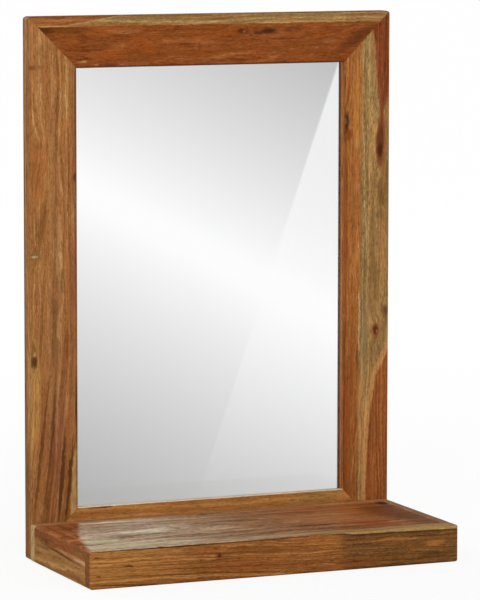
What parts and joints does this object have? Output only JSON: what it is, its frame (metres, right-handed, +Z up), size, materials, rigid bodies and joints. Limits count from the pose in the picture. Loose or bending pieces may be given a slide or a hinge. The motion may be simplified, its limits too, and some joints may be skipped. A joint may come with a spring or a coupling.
{
  "type": "mirror with shelf",
  "caption": "Upright wall mirror in a mitred solid wood frame, with a deep wooden box shelf at its foot, for hanging on two keyhole plates.",
  "frame": {"origin": "middle of the underside, at the centre of the overall width and depth", "axes": "+X to the viewer's right, +Y from the shelf towards the wall, +Z up; the mirror faces -Y"},
  "size_m": [0.5, 0.23, 0.69],
  "materials": {
    "red_brown_wood": "oiled satin acacia, red-brown heartwood",
    "orange_brown_wood": "oiled satin acacia, orange-brown",
    "golden_brown_wood": "oiled satin acacia, golden brown",
    "olive_brown_wood": "oiled satin acacia, olive-brown with sapwood",
    "pale_brown_wood": "oiled satin acacia, pale sapwood",
    "beech_wood": "plain beech, unfinished",
    "clear_glass": "polished float glass",
    "silvering": "reflecting coat with grey back paint",
    "foam_tape": "white closed-cell foam tape",
    "hardboard": "smooth brown hardboard",
    "zinc_steel": "bright zinc-plated steel",
    "yellow_zinc_steel": "yellow-passivated zinc-plated steel"
  },
  "bodies": {
    "root": {"frame_top_rail": "red_brown_wood", "frame_bottom_rail": "orange_brown_wood", "frame_left_stile": "golden_brown_wood", "frame_right_stile": "olive_brown_wood", "frame_corner_dowels": "beech_wood", "mirror_glass": "clear_glass", "mirror_silvering": "silvering", "mirror_tape": "foam_tape", "backing_board": "hardboard", "backing_screws": "zinc_steel", "left_hanger_plate": "yellow_zinc_steel", "right_hanger_plate": "yellow_zinc_steel", "hanger_screws": "zinc_steel", "shelf_front_board": "orange_brown_wood", "shelf_back_board": "pale_brown_wood", "shelf_left_end": "olive_brown_wood", "shelf_right_end": "olive_brown_wood", "shelf_top_board": "red_brown_wood", "shelf_underside_board": "golden_brown_wood", "shelf_front_batten": "beech_wood", "shelf_back_batten": "beech_wood", "shelf_left_batten": "beech_wood", "shelf_right_batten": "beech_wood", "shelf_corner_dowels": "beech_wood", "shelf_locating_dowels": "beech_wood", "shelf_fixing_screws": "zinc_steel", "shelf_top_screws": "zinc_steel", "shelf_underside_screws": "zinc_steel"}
  },
  "joints": []
}
